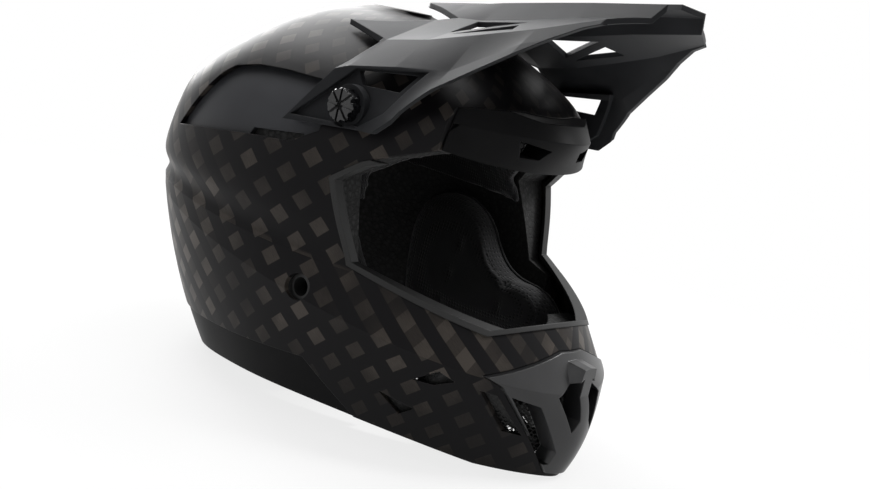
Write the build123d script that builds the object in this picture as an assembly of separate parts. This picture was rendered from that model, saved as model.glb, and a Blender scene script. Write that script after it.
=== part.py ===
from build123d import *
from functools import lru_cache
import math
import os

# A full-face downhill helmet standing on a table.
# +Z is up, the face looks along -Y and the wearer's right is -X.
# The origin is on the table, under the middle of the helmet.

# Driving sizes, in mm
shell_length = 330
shell_width = 248
shell_height = 242
shell_wall = 3
fit_gap = 0.3
foam_gap = 0.6

# Foam: the liner's head cavity and floor, and the chin bar's own liner
cavity_width = 178
cavity_front = 72
cavity_rear = 133
cavity_height = 214
foam_crown_drop = 7.5
foam_floor = 38
foam_chin_edge = 62
chin_liner_depth = 20
chin_liner_half_width = 72
chin_liner_edge = 92
chin_liner_floor = 12
chin_liner_top = 76

# Comfort padding of the crown
comfort_thickness = 7
comfort_floor = 130
comfort_slot_width = 14
comfort_slot_length = 120
comfort_slot_spread = 32

# Lower edge, base trim and neck roll
table_arch_height = 9.5
lip_depth = 9
lip_thickness = 3
trim_step = 1.5
trim_wall = 3.5
trim_flange = 16
trim_flange_thickness = 3
neck_roll_height = 34
neck_roll_thickness = 12

# Port bead
bead_width = 3
bead_proud = 0.8
bead_depth = 5

# Side panels behind the windows of the shell
panel_wall = 2.5
panel_flange = 4

# Brow insert and its mesh
brow_depth = 9
mesh_wall = 1.6

# Mouth guard and the filter behind it
guard_proud = 1.5
guard_depth = 7
guard_nose = 6
filter_wall = 2.5

# Ear ports
ear_y = -24.4
ear_z = 78.3
ear_bore = 11
ear_ring_x = 111
ear_ring = 15.5
ear_ring_depth = 9

# Visor and its pivots
visor_half_width = 118
visor_front = 161
visor_top = 281
visor_wall = 3
pivot_y = -31
pivot_z = 186.5
arm_seat_x = 113
arm_boss_diameter = 24
arm_boss_length = 5
boss_diameter = 18
boss_clearance = 1
boss_depth = 18
washer_thickness = 1.5
screw_head_diameter = 19
screw_head_height = 7.5
screw_lobe_radius = 2.2
screw_lobes = 8
screw_slot_width = 1.6
screw_slot_depth = 1.6
screw_socket_diameter = 6
shank_diameter = 5
shank_length = 22.5
nut_diameter = 10
nut_length = 16
nut_flange_diameter = 16
nut_flange_thickness = 2

# Cheek pads, their snaps and pull tabs
cheek_outer_x = 82.5
cheek_thickness = 24
cheek_channel_radius = 2.5
cheek_channel_lean = 8
snap_diameter = 9
snap_root_x = 92
tab_width = 12
tab_length = 20
tab_thickness = 1.6
tab_x = 64
tab_lean = 25

# Chin straps, anchors and D-rings
strap_width = 22
strap_thickness = 2
strap_x = 85.3
strap_y = 4
strap_shelf_z = 30
strap_turn_x = 66
strap_low_z = 20
strap_end_x = 34
strap_bend_radius = 8
anchor_z = 60
anchor_plate_height = 18
anchor_plate_thickness = 3
rivet_diameter = 9
rivet_head = 1.2
rivet_shank = 4
anchor_disc_x = 105
anchor_disc_diameter = 14
ring_wire = 4
ring_inner_width = 26
ring_droop = 44
snap_button_diameter = 12
snap_button_thickness = 2

half_length = shell_length / 2
half_width = shell_width / 2
wide = shell_width * 2

# Rings of the shell, as shares of its height, half length and half width:
# height, lean along Y (a slope), front, rear, half width, place of the
# widest point, and the roundness powers of the front and rear halves.
jaw_ring_shares = [
    (0.000, 0.000, -0.940, 0.715, 0.740, 0.033, 1.5, 2.3),
    (0.155, 0.058, -0.985, 0.875, 0.870, 0.073, 1.6, 2.35),
    (0.321, 0.156, -0.950, 0.995, 0.965, 0.133, 1.92, 2.4),
]
facet_ring_shares = [
    jaw_ring_shares[-1],
    (0.403, 0.048, -0.800, 1.000, 0.968, 0.152, 1.75, 2.4),
]
dome_ring_shares = [
    facet_ring_shares[-1],
    (0.486, 0.000, -0.670, 1.000, 0.984, 0.192, 2.0, 2.4),
    (0.570, -0.042, -0.615, 0.985, 1.000, 0.218, 2.1, 2.4),
    (0.653, -0.042, -0.604, 0.945, 0.992, 0.236, 2.1, 2.4),
    (0.736, -0.042, -0.592, 0.880, 0.960, 0.255, 2.1, 2.4),
    (0.818, -0.042, -0.557, 0.756, 0.855, 0.272, 2.1, 2.4),
    (0.884, -0.042, -0.424, 0.634, 0.718, 0.276, 2.1, 2.3),
    (0.938, -0.042, -0.267, 0.512, 0.548, 0.279, 2.1, 2.3),
    (0.975, -0.042, -0.060, 0.397, 0.339, 0.282, 2.1, 2.2),
    (0.994, -0.042, 0.133, 0.309, 0.161, 0.282, 2.1, 2.2),
]
# Rings of the brow insert, in the same columns as the shell's rings.
peak_ring_shares = [
    (0.680, -0.042, -0.598, 0.900, 0.985, 0.240, 2.08, 2.4),
    (0.768, -0.042, -0.672, 0.850, 0.915, 0.260, 1.72, 2.4),
    (0.835, -0.042, -0.600, 0.720, 0.830, 0.272, 1.90, 2.4),
]
# Rings of the head cavity, as shares of its own height, front, rear and half
# width: height, front, rear, half width, widest point, roundness at the front.
cavity_ring_shares = [
    (-0.05, -1.90, 0.78, 1.00, 0.24, 3.0),
    (0.20, -1.90, 0.90, 1.00, 0.24, 3.0),
    (0.42, -1.90, 0.98, 1.02, 0.26, 3.0),
    (0.60, -1.35, 1.00, 1.01, 0.28, 2.6),
    (0.75, -0.97, 0.96, 0.97, 0.30, 2.3),
    (0.87, -0.78, 0.85, 0.86, 0.31, 2.2),
    (0.95, -0.45, 0.68, 0.64, 0.31, 2.2),
    (0.99, -0.04, 0.50, 0.34, 0.31, 2.2),
]
cavity_round_power = 2.4
scale_centre_share = 0.18
ring_points = 28

# Side-view outlines, as shares of the half length and the height.
port_shares = [
    (-0.168, 0.598), (-0.278, 0.405), (-0.725, 0.325), (-0.821, 0.358), (-1.30, 0.420),
    (-1.30, 0.836), (-0.660, 0.830), (-0.600, 0.826), (-0.530, 0.838), (-0.415, 0.820),
    (-0.427, 0.716), (-0.253, 0.652),
]
bead_gap_shares = [(-0.26, 0.66), (-1.40, 0.62), (-1.40, 1.00), (0.10, 1.00), (0.10, 0.66)]
seam_shares = [
    (-0.38, -0.20), (-0.38, 0.018), (-0.175, 0.150), (0.55, 0.108), (1.30, 0.140), (1.30, -0.20),
]
panel_window_shares = [
    (0.604, 0.587), (0.527, 0.656), (0.425, 0.749), (0.382, 0.774), (0.280, 0.793), (0.148, 0.802),
    (-0.002, 0.804), (-0.090, 0.800), (-0.086, 0.692), (0.010, 0.649), (0.182, 0.635),
]
panel_notch_shares = [(0.215, 0.600), (0.182, 0.651), (-0.025, 0.674), (-0.050, 0.600)]
upper_vent_shares = [(-0.573, 0.189), (-0.658, 0.230), (-0.703, 0.212), (-0.640, 0.190)]
lower_vent_shares = [(-0.453, 0.131), (-0.518, 0.083), (-0.570, 0.109)]
mesh_vent_shares = [(-0.770, 0.205), (-0.815, 0.200), (-0.877, 0.106), (-0.825, 0.110)]
brow_shares = [
    (-0.415, 0.820), (-0.530, 0.838), (-0.600, 0.826), (-0.660, 0.830), (-1.30, 0.836),
    (-1.30, 0.704), (-0.600, 0.697), (-0.430, 0.716),
]
arch_shares = (-0.74, -0.18, 0.62)

# Front-view outlines, as shares of the half width and the height.
brow_port_shares = [(-0.66, 0.778), (-0.52, 0.783), (-0.59, 0.745)]
brow_window_shares = [(-0.30, 0.775), (-0.12, 0.762), (-0.16, 0.735), (-0.27, 0.735)]
guard_half_shares = [
    (0.000, 0.309), (-0.090, 0.309), (-0.500, 0.243), (-0.430, 0.226), (-0.090, 0.012), (0.000, 0.012),
]
guard_slot_shares = [(-0.385, 0.205), (-0.255, 0.190), (-0.105, 0.075), (-0.105, 0.040), (-0.130, 0.035)]
guard_port_shares = [(-0.175, 0.215), (-0.035, 0.262), (-0.035, 0.160), (-0.075, 0.130)]
nose_half_shares = [(0.000, 0.295), (-0.065, 0.292), (-0.245, 0.200), (-0.085, 0.030), (0.000, 0.025)]
nose_tip_half_shares = [(0.000, 0.288), (-0.050, 0.285), (-0.085, 0.180), (-0.045, 0.060), (0.000, 0.055)]
nose_root_share = -0.86
nose_face_share = -0.93
rear_vent_shares = [(0.15, 0.480), (0.44, 0.500), (0.38, 0.565), (0.17, 0.550)]

# Where the cuts from the front begin, as shares of the half length.
guard_cut_share = -0.66
brow_cut_share = -0.30
rear_cut_share = 0.50

# Stations of the visor from rear to front: place along Y, then half a section
# from the middle outwards (middle, spine, channel, shoulder, arm crease, edge),
# as shares of the visor's front, half width and top.
visor_station_shares = [
    (0.149, [(0.0, 0.879), (0.119, 0.874), (0.280, 0.858), (0.619, 0.817), (0.992, 0.669), (1.127, 0.555)]),
    (-0.124, [(0.0, 0.909), (0.136, 0.899), (0.280, 0.867), (0.683, 0.799), (0.903, 0.737), (1.025, 0.580)]),
    (-0.298, [(0.0, 0.927), (0.146, 0.923), (0.275, 0.879), (0.665, 0.822), (0.860, 0.759), (1.017, 0.600)]),
    (-0.491, [(0.0, 0.950), (0.158, 0.946), (0.269, 0.904), (0.629, 0.858), (0.797, 0.779), (0.966, 0.714)]),
    (-0.683, [(0.0, 0.974), (0.169, 0.968), (0.264, 0.932), (0.573, 0.896), (0.669, 0.863), (0.790, 0.815)]),
    (-1.025, [(0.0, 1.014), (0.188, 1.004), (0.252, 0.975), (0.422, 0.977), (0.498, 0.949), (0.585, 0.915)]),
]
# The visor seen from above, from its tail round the +X side to its tip.
visor_plan_shares = [
    (0.0, 0.130), (0.127, 0.050), (0.280, -0.186), (0.610, 0.112), (0.678, -0.105), (0.729, -0.105),
    (0.729, 0.140), (1.2, 0.140), (1.2, -0.892), (0.492, -0.892), (0.186, -0.980), (0.0, -0.956),
]
# What is cut away behind and under the visor's sides, seen from the side.
visor_rear_shares = [
    (-0.105, 1.10), (-0.118, 0.804), (-0.090, 0.742), (-0.032, 0.685), (0.036, 0.602), (0.40, 0.58), (0.40, 1.10),
]
visor_under_shares = [
    (0.036, 0.602), (-0.290, 0.626), (-0.350, 0.629), (-0.394, 0.640), (-0.423, 0.684), (-0.492, 0.739),
    (-0.589, 0.791), (-0.690, 0.844), (-0.763, 0.884), (-0.838, 0.918), (-0.894, 0.934), (-1.20, 0.945),
    (-1.20, 0.40), (0.40, 0.40), (0.40, 0.58),
]
visor_pocket_shares = [(0.016, 0.615), (-0.155, 0.736), (-0.429, 0.767), (-0.352, 0.670), (-0.270, 0.631)]
pocket_window_shares = [(-0.155, 0.733), (-0.388, 0.754), (-0.352, 0.714), (-0.196, 0.707)]
channel_window_shares = [
    [(0.300, -0.290), (0.520, -0.300), (0.330, -0.520)],
    [(0.560, -0.330), (0.400, -0.520), (0.520, -0.560)],
]
visor_flank_share = 0.705

# The cheek pad's side outline, and how it swells through its thickness.
cheek_shares = [
    (0.255, 0.190), (0.290, 0.330), (0.255, 0.470), (0.060, 0.525), (-0.120, 0.470), (-0.245, 0.385),
    (-0.480, 0.325), (-0.545, 0.255), (-0.400, 0.185), (-0.150, 0.165), (0.080, 0.160),
]
cheek_swell_shares = [(0.0, 0.94), (0.30, 1.0), (0.72, 0.93), (1.0, 0.74)]
cheek_channel_shares = (-0.30, -0.02)
snap_upper_shares = (0.15, 0.42)
snap_lower_shares = (-0.32, 0.27)
tab_shares = (-0.40, 0.175)


def round_ring(middle, front, rear, half, front_power, rear_power, height_at):
    """Points of one closed curve: two half superellipses that meet at the widest point."""
    points = []
    for step in range(ring_points):
        angle = 2 * math.pi * step / ring_points
        along, across = math.cos(angle), math.sin(angle)
        power = rear_power if along > 0 else front_power
        span = rear - middle if along > 0 else middle - front
        x = half * math.copysign(abs(across) ** (2 / power), across)
        y = middle + span * math.copysign(abs(along) ** (2 / power), along)
        points.append((x, y, height_at(y)))
    return points


def closed_curve(points):
    return Wire([Edge.make_spline([Vector(*point) for point in points], periodic=True)])


def shell_ring(row, inset=0):
    """One ring of the shell, moved inwards by about inset."""
    height, lean, front, rear, half, widest, front_power, rear_power = row
    points = round_ring(
        widest * half_length, front * half_length, rear * half_length, half * half_width,
        front_power, rear_power, lambda y: height * shell_height + lean * y,
    )
    centre = scale_centre_share * half_length
    reach = half_length - centre
    keep_x = (half_width - inset) / half_width
    keep_y = (reach - inset) / reach
    keep_z = (shell_height - inset) / shell_height
    return closed_curve([(x * keep_x, centre + (y - centre) * keep_y, z * keep_z) for x, y, z in points])


@lru_cache(maxsize=None)
def helmet_body(inset=0):
    """The filled form of the helmet, inset all round."""
    jaw = Solid.make_loft([shell_ring(row, inset) for row in jaw_ring_shares])
    facet = Solid.make_loft([shell_ring(row, inset) for row in facet_ring_shares], ruled=True)
    dome = Solid.make_loft([shell_ring(row, inset) for row in dome_ring_shares])
    return Part() + jaw + facet + dome


@lru_cache(maxsize=None)
def head_cavity(inset=0):
    """The room for the head, inset all round."""
    rings = []
    for height, front, rear, half, widest, power in cavity_ring_shares:
        z = height * (cavity_height - inset)
        points = round_ring(
            widest * cavity_rear, front * (cavity_front - inset), rear * (cavity_rear - inset),
            half * (cavity_width / 2 - inset), power, cavity_round_power, lambda y, level=z: level,
        )
        rings.append(closed_curve(points))
    return Part() + Solid.make_loft(rings)


def side_points(shares):
    return [(y * half_length, z * shell_height) for y, z in shares]


def side_bar(face):
    """A side-view face made into a bar across the whole helmet."""
    return extrude(Plane.YZ * face, wide / 2, both=True)


def side_cut(shares, grow=0):
    """A bar across the helmet from a side-view outline, grown all round."""
    face = Polygon(*side_points(shares), align=None)
    if grow:
        face = offset(face, grow, kind=Kind.INTERSECTION)
    return side_bar(face)


def front_outline(shares, grow=0):
    """A front-view face, grown all round."""
    face = Polygon(*[(x * half_width, z * shell_height) for x, z in shares], align=None)
    return offset(face, grow, kind=Kind.INTERSECTION) if grow else face


def front_bar(face, start_share, toward=1):
    """A front-view face made into a bar that runs forwards from a place along Y."""
    start = Plane((0, start_share * half_length, 0), x_dir=(1, 0, 0), z_dir=(0, -1, 0))
    return extrude(start * face, shell_length, dir=(0, -toward, 0))


def both_sides(shares):
    """A half outline, from top to bottom on the -X side, closed on the +X side."""
    return shares + [(-x, z) for x, z in reversed(shares) if x != 0]


def paired(shares):
    """One outline and its mirror image."""
    return shares, [(-x, z) for x, z in shares]


def slab(low, high):
    """All of the plan between two heights."""
    return Pos(0, 0, (low + high) / 2) * Box(wide, wide, high - low)


def cross_cylinder(diameter, x_from, x_to, y, z):
    """A cylinder along X at a place of the side view."""
    return Plane((x_from, y, z), z_dir=(1, 0, 0)) * Cylinder(
        diameter / 2, x_to - x_from, align=(Align.CENTER, Align.CENTER, Align.MIN))


def other_side(piece):
    return mirror(piece, about=Plane.YZ)


def band(outer_inset, inner_inset, region):
    """The part of a region between two depths under the shell's surface."""
    return (helmet_body(outer_inset) - helmet_body(inner_inset)) & region


def lipped_wall(outer_inset, wall, lip, thickness):
    """A wall under the shell's surface, with a lip turned in all round its lower edge."""
    room = helmet_body(outer_inset + wall) - under_edge(thickness)
    return (helmet_body(outer_inset) - room) - helmet_body(outer_inset + lip)


def skin(outer_inset, thickness, region):
    """A thin skin at a depth under the shell's surface, within a region."""
    return (helmet_body(outer_inset) & region) - helmet_body(outer_inset + thickness)


def with_mirror(*pieces):
    """Each piece and its copy on the other side."""
    return [copy for piece in pieces for copy in (piece, other_side(piece))]


def under_edge(lift=0):
    """All that lies under the table's height or under the arched sides, raised by lift."""
    front, middle, rear = [share * half_length for share in arch_shares]
    arch = ThreePointArc((front, lift), (middle, table_arch_height + lift), (rear, lift))
    rest = Polyline((rear, lift), (wide, lift), (wide, -wide), (-wide, -wide), (-wide, lift), (front, lift))
    return side_bar(make_face(arch + rest))


def boss_end():
    """How far from the middle the shell's bosses reach."""
    return arm_seat_x - arm_boss_length - washer_thickness


def pivot_cylinder(diameter, x_from, x_to):
    return cross_cylinder(diameter, x_from, x_to, pivot_y, pivot_z)


def screw_bore():
    """The running bore for a visor screw, right through the helmet."""
    return pivot_cylinder(shank_diameter + 2 * fit_gap, -wide, wide)


def outer_shell():
    """The hard shell with its port, vents, windows, turned-in lip and visor bosses."""
    boss = pivot_cylinder(boss_diameter, boss_end() - boss_depth, boss_end())
    shell = lipped_wall(0, shell_wall, lip_depth, lip_thickness)
    shell += with_mirror(boss)
    cuts = [under_edge(), front_bar(front_outline(both_sides(guard_half_shares)), guard_cut_share)]
    for shares in (seam_shares, port_shares, panel_window_shares, upper_vent_shares, lower_vent_shares,
                   mesh_vent_shares):
        cuts.append(side_cut(shares))
    for shares in paired(rear_vent_shares):
        cuts.append(front_bar(front_outline(shares), rear_cut_share, -1))
    cuts.append(cross_cylinder(ear_ring, -wide, wide, ear_y, ear_z))
    cuts.append(pivot_cylinder(nut_diameter + 2 * fit_gap, -wide, wide))
    for cut in cuts:
        shell -= cut
    return shell


def impact_liner():
    """The main foam liner: crown, sides and rear, with rooms for what is let into it."""
    foam = helmet_body(shell_wall + foam_gap) - head_cavity()
    foam -= slab(shell_height - foam_crown_drop, wide)
    nut_back = boss_end() - boss_depth - nut_flange_thickness - fit_gap
    foam -= with_mirror(
        pivot_cylinder(boss_diameter + 2 * fit_gap, nut_back, wide),
        cross_cylinder(ear_ring + 2 * fit_gap, 0, wide, ear_y, ear_z),
        strap_anchor(fit_gap), cheek_snap(snap_upper_shares, fit_gap), cheek_snap(snap_lower_shares, fit_gap))
    foam -= slab(-wide, foam_floor)
    foam -= side_cut(port_shares, shell_wall)
    foam -= front_block(wide, foam_chin_edge, 0, 2 * foam_chin_edge)
    panel_back = shell_wall + panel_wall + fit_gap + foam_gap
    foam -= side_cut(panel_window_shares, panel_flange + fit_gap) - helmet_body(panel_back)
    brow_back = brow_depth + mesh_wall + fit_gap + foam_gap
    return foam - (side_cut(brow_shares, shell_wall) - helmet_body(brow_back))


def front_block(half, edge, low, high):
    """All of the space in front of an edge, between two heights."""
    block = Box(2 * half, wide, high - low, align=(Align.CENTER, Align.MAX, Align.MIN))
    return Pos(0, -edge, low) * block


def chin_bar_liner():
    """The foam behind the chin bar, with a pocket for the guard and open air ways."""
    region = front_block(chin_liner_half_width, chin_liner_edge, chin_liner_floor, chin_liner_top)
    liner = band(shell_wall + foam_gap, chin_liner_depth, region)
    liner -= side_cut(port_shares, fit_gap)
    liner -= side_cut(mesh_vent_shares, panel_flange + fit_gap)
    pocket_depth = guard_depth + filter_wall + fit_gap + foam_gap
    pocket = front_outline(both_sides(guard_half_shares), panel_flange + fit_gap)
    liner -= front_bar(pocket, guard_cut_share) - helmet_body(pocket_depth)
    for shares in paired(guard_slot_shares):
        liner -= front_bar(front_outline(shares), guard_cut_share)
    return liner


def base_trim():
    """The band under the shell's rear and sides: an outer wall on an inward flange."""
    trim = lipped_wall(trim_step, trim_wall, trim_flange, trim_flange_thickness)
    return trim & (side_cut(seam_shares, -fit_gap) - under_edge())


def neck_roll():
    """The padded roll that rests on the trim's flange, held by the trim's wall."""
    low = trim_flange_thickness + fit_gap
    outer = trim_step + trim_wall + foam_gap
    front_edge = -seam_shares[0][0] * half_length - fit_gap
    region = slab(0, low + neck_roll_height) - under_edge(low)
    region -= front_block(wide, front_edge, 0, wide)
    return band(outer, outer + neck_roll_thickness, region)


def face_port_trim():
    """The bead on the cut edge of the eye port, at its sides and along the chin bar."""
    region = side_cut(port_shares) - side_cut(port_shares, -bead_width) - side_cut(bead_gap_shares)
    return band(-bead_proud, bead_depth, region)


def side_panel():
    """The recessed panel that shows through the shell's window on the +X side."""
    region = side_cut(panel_window_shares, panel_flange) - side_cut(panel_notch_shares)
    region &= Pos(wide / 2, 0, 0) * Box(wide, wide, wide * 2)
    return skin(shell_wall + fit_gap, panel_wall, region)


def brow_insert():
    """The vented moulding under the shell's brow, with its pointed peak."""
    peak = Part() + Solid.make_loft([shell_ring(row) for row in peak_ring_shares], ruled=True)
    insert = (peak & side_cut(brow_shares, -fit_gap)) - helmet_body(brow_depth)
    for shares in paired(brow_port_shares) + paired(brow_window_shares):
        insert -= front_bar(front_outline(shares), brow_cut_share)
    return insert


def brow_mesh():
    return skin(brow_depth + fit_gap, mesh_wall, side_cut(brow_shares, -fit_gap))


def guard_nose_block():
    """The pointed nose in the middle of the guard, from its root to its tip."""
    tip_y = nose_face_share * half_length - guard_nose
    sections = []
    for shares, place in ((nose_half_shares, nose_root_share * half_length), (nose_tip_half_shares, tip_y)):
        points = [(x * half_width, place, z * shell_height) for x, z in both_sides(shares)]
        sections.append(Polyline(*points, close=True).wire())
    return Part() + Solid.make_loft(sections, ruled=True)


def mouth_guard():
    """The chin grille: a frame with side slots and a pointed nose with two ports."""
    region = front_bar(front_outline(both_sides(guard_half_shares), -fit_gap), guard_cut_share)
    guard = band(-guard_proud, guard_depth, region)
    guard += guard_nose_block() - helmet_body(guard_depth)
    for shares in paired(guard_slot_shares) + paired(guard_port_shares):
        guard -= front_bar(front_outline(shares), guard_cut_share)
    return guard


def mouth_filter():
    region = front_bar(front_outline(both_sides(guard_half_shares), panel_flange), guard_cut_share)
    start = guard_depth + fit_gap
    return band(start, start + filter_wall, region - slab(-wide, lip_thickness + fit_gap))


def chin_mesh():
    """The mesh behind the slanted chin vent on the +X side."""
    region = side_cut(mesh_vent_shares, panel_flange) & (Pos(wide / 2, 0, 0) * Box(wide, wide, wide))
    mesh = skin(shell_wall + fit_gap, mesh_wall, region)
    return mesh - front_bar(front_outline(both_sides(guard_half_shares), fit_gap), guard_cut_share)


def ear_grommet():
    """The ring in the ear port on the +X side."""
    ring = cross_cylinder(ear_ring - fit_gap, ear_ring_x - ear_ring_depth, ear_ring_x, ear_y, ear_z)
    return ring - cross_cylinder(ear_bore, 0, wide, ear_y, ear_z)


def crown_pad():
    """The comfort liner of the crown, with slots from front to rear."""
    pad = head_cavity(foam_gap) - head_cavity(comfort_thickness)
    pad -= slab(-wide, comfort_floor)
    pad -= side_cut(port_shares, shell_wall)
    for place in (-comfort_slot_spread, 0, comfort_slot_spread):
        pad -= Pos(place, scale_centre_share * half_length, wide / 2) * Box(
            comfort_slot_width, comfort_slot_length, wide)
    return pad


def moved_outline(points, distance):
    """An open outline moved sideways by distance, with its corners kept sharp."""
    moved = []
    for index, (x, z) in enumerate(points):
        before = points[max(index - 1, 0)]
        after = points[min(index + 1, len(points) - 1)]
        normals = []
        for start, end in ((before, (x, z)), ((x, z), after)):
            length = math.dist(start, end)
            if length:
                normals.append(((end[1] - start[1]) / length, (start[0] - end[0]) / length))
        sum_x = sum(normal[0] for normal in normals) / len(normals)
        sum_z = sum(normal[1] for normal in normals) / len(normals)
        stretch = distance / (sum_x ** 2 + sum_z ** 2)
        moved.append((x + sum_x * stretch, z + sum_z * stretch))
    return moved


def visor_layer(start, end):
    """The visor's folded sheet between two depths under its upper surface."""
    sections = []
    for place, half in visor_station_shares:
        scaled = [(x * visor_half_width, z * visor_top) for x, z in half]
        across = [(-x, z) for x, z in reversed(scaled[1:])] + scaled
        outline = moved_outline(across, start) + moved_outline(across, end)[::-1]
        sections.append(Polyline(*[(x, place * visor_front, z) for x, z in outline], close=True).wire())
    return Part() + Solid.make_loft(sections, ruled=True)


def visor_side_bar(shares, grow=0):
    """A bar across the visor from a side view in shares of its front and top."""
    face = Polygon(*[(y * visor_front, z * visor_top) for y, z in shares], align=None)
    return side_bar(offset(face, grow, kind=Kind.INTERSECTION) if grow else face)


def visor_plan_bar(shares):
    """A bar through the visor from a plan view in shares of its half width and front."""
    face = Polygon(*[(x * visor_half_width, y * visor_front) for x, y in shares], align=None)
    return extrude(face, wide, both=True)


def visor_flanks():
    """All of the space beside the visor's shoulders."""
    return Box(wide, wide, 2 * wide) - Box(2 * visor_flank_share * visor_half_width, wide, 2 * wide)


def visor():
    """The folded sheet with its arms, side pockets, channel windows and pivot bosses."""
    plan = visor_plan_bar(visor_plan_shares)
    sheet = visor_layer(0, visor_wall) & (plan + other_side(plan))
    sheet -= visor_side_bar(visor_pocket_shares) & visor_flanks()
    floor = visor_layer(visor_wall, 2 * visor_wall) & visor_flanks()
    floor &= visor_side_bar(visor_pocket_shares, visor_wall / 2)
    sheet += floor - visor_side_bar(pocket_window_shares)
    sheet -= visor_side_bar(visor_rear_shares) & visor_flanks()
    sheet -= visor_side_bar(visor_under_shares)
    for shares in channel_window_shares:
        window = visor_plan_bar(shares)
        sheet -= window
        sheet -= other_side(window)
    seat = pivot_cylinder(arm_boss_diameter, arm_seat_x, wide)
    boss = pivot_cylinder(arm_boss_diameter, arm_seat_x - arm_boss_length, arm_seat_x)
    boss_room = pivot_cylinder(boss_diameter + 2 * boss_clearance, 0, boss_end() + washer_thickness)
    sheet -= with_mirror(seat)
    sheet -= with_mirror(boss_room)
    sheet += with_mirror(boss)
    return sheet - screw_bore()


def visor_screw():
    """A thumb screw: a lobed head with crossed slots and a socket, on its shank."""
    face_x = arm_seat_x + screw_head_height
    head = pivot_cylinder(screw_head_diameter, arm_seat_x, face_x)
    head = chamfer(head.edges().sort_by(Axis.X)[-1], screw_slot_depth / 2)
    lobe_radius = (screw_head_diameter + screw_lobe_radius) / 2
    for lobe in range(screw_lobes):
        angle = 2 * math.pi * (lobe + 1 / 2) / screw_lobes
        y = pivot_y + lobe_radius * math.cos(angle)
        z = pivot_z + lobe_radius * math.sin(angle)
        head -= cross_cylinder(2 * screw_lobe_radius, 0, wide, y, z)
    for slot in range(screw_lobes // 2):
        bar = Box(2 * screw_slot_depth, 2 * screw_head_diameter, screw_slot_width)
        head -= Pos(face_x, pivot_y, pivot_z) * Rot(180 * slot / (screw_lobes // 2), 0, 0) * bar
    head -= pivot_cylinder(screw_socket_diameter, face_x - 2 * screw_slot_depth, wide)
    return head + pivot_cylinder(shank_diameter, arm_seat_x - shank_length, arm_seat_x)


def visor_washer():
    return pivot_cylinder(boss_diameter, boss_end(), boss_end() + washer_thickness) - screw_bore()


def visor_nut():
    """A flanged nut that seats on the inner end of a shell boss."""
    seat = boss_end() - boss_depth
    nut = pivot_cylinder(nut_flange_diameter, seat - nut_flange_thickness, seat)
    nut += pivot_cylinder(nut_diameter, seat, seat + nut_length)
    return nut - screw_bore()


def cheek_pad():
    """The pad on the +X side: full in its middle, drawn in at its faces, with two channels."""
    points = side_points(cheek_shares)
    middle_y = sum(y for y, z in points) / len(points)
    middle_z = sum(z for y, z in points) / len(points)
    sections = []
    for depth, swell in cheek_swell_shares:
        x = cheek_outer_x - depth * cheek_thickness
        sections.append(closed_curve([
            (x, middle_y + (y - middle_y) * swell, middle_z + (z - middle_z) * swell) for y, z in points]))
    pad = Part() + Solid.make_loft(sections)
    inner_x = cheek_outer_x - cheek_thickness
    for share in cheek_channel_shares:
        channel = Rot(cheek_channel_lean, 0, 0) * Cylinder(cheek_channel_radius, wide)
        pad -= Pos(inner_x, share * half_length, middle_z) * channel
    return pad - pull_tab(fit_gap)


def pull_tab(grow=0):
    """The tape tab that pulls a cheek pad out; it is held in a slit of the pad."""
    (y, z), = side_points([tab_shares])
    tab = Box(tab_thickness + 2 * grow, tab_width + 2 * grow, tab_length + 2 * grow)
    return Pos(tab_x, y, z) * Rot(-tab_lean, 0, 0) * tab


def cheek_snap(shares, grow=0):
    """A snap post that bridges a cheek pad and the foam."""
    (y, z), = side_points([shares])
    return cross_cylinder(snap_diameter + 2 * grow, cheek_outer_x + fit_gap - grow, snap_root_x + grow, y, z)


def strap_cylinder(diameter, x_from, x_to):
    return cross_cylinder(diameter, x_from, x_to, strap_y, anchor_z)


def strap_anchor(grow=0):
    """An anchor plate with its rivet, held in the foam by a disc."""
    plate_x = strap_x + strap_thickness / 2 + fit_gap + anchor_plate_thickness / 2
    plate = Pos(plate_x, strap_y, anchor_z) * Box(
        anchor_plate_thickness + 2 * grow, strap_width + 2 * grow, anchor_plate_height + 2 * grow)
    head_x = strap_x - strap_thickness / 2 - fit_gap - rivet_head
    rivet = strap_cylinder(rivet_diameter + 2 * grow, head_x - grow, head_x + rivet_head + grow)
    shank = strap_cylinder(rivet_shank + 2 * grow, head_x, anchor_disc_x)
    disc = strap_cylinder(
        anchor_disc_diameter + 2 * grow, anchor_disc_x - 2 * rivet_head - grow, anchor_disc_x + grow)
    return plate + rivet + shank + disc


def plain_strap():
    """A webbing strap from its rivet down and in under the chin."""
    route = [
        (strap_x, anchor_z + anchor_plate_height / 2), (strap_x, strap_shelf_z), (strap_turn_x, strap_low_z),
        (strap_end_x, strap_low_z),
    ]
    outline = moved_outline(route, -strap_thickness / 2) + moved_outline(route, strap_thickness / 2)[::-1]
    face = Polygon(*outline, align=None)
    ends = (strap_end_x + strap_thickness, anchor_z)
    corners = [corner for corner in face.vertices() if corner.X > ends[0] and corner.Y < ends[1]]
    middle = Plane((0, strap_y, 0), x_dir=(1, 0, 0), z_dir=(0, -1, 0))
    strap = extrude(middle * fillet(corners, strap_bend_radius), strap_width / 2, both=True)
    return strap - strap_cylinder(rivet_shank + 2 * fit_gap, 0, wide)


def ring_places():
    """The two D-rings' bars in the front view."""
    first = strap_end_x - strap_thickness
    return [(first, strap_low_z), (first - 2 * ring_wire, strap_low_z)]


def along_strap(diameter, length, x, z):
    """A cylinder across a strap's end, at a place of the front view."""
    return Plane((x, strap_y, z), z_dir=(0, 1, 0)) * Cylinder(diameter / 2, length)


def ring_strap():
    """The strap whose end is sewn into a loop round each D-ring's bar."""
    strap = plain_strap()
    bore = ring_wire + 2 * fit_gap
    for x, z in ring_places():
        strap += along_strap(bore + 2 * strap_thickness, strap_width, x, z)
    for x, z in ring_places():
        strap -= along_strap(bore, wide, x, z)
    return strap


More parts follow.
